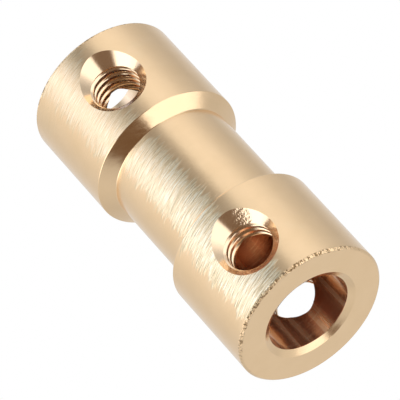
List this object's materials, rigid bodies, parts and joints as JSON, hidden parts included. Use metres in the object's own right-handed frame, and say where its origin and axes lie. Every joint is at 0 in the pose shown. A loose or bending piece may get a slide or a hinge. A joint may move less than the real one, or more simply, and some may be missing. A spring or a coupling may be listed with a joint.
{
  "type": "rigid sleeve coupling",
  "caption": "Turned brass sleeve that joins a 5 mm shaft end to end with a 3.17 mm shaft, tapped across each collar for M3 set screws.",
  "frame": {"origin": "centre of the lower end face, on the shaft line; the lower collar is the one with the 3.17 mm bore", "axes": "+Z along the shaft line towards the 5 mm bore's end face; -Y through the front hole of the upper collar"},
  "size_m": [0.009, 0.009, 0.0205],
  "materials": {
    "brass": "satin, fine turning and brushing lines",
    "screw_steel": "blackened, slightly glossy"
  },
  "bodies": {
    "sleeve": {"sleeve": "brass"},
    "screw": {"set_screw": "screw_steel"}
  },
  "joints": [
    {"name": "set_screw_travel", "type": "slide", "parent": "sleeve", "child": "screw", "axis": [0.1305, 0.9914, 0], "range_m": [-0.0005, 0.0015]}
  ]
}
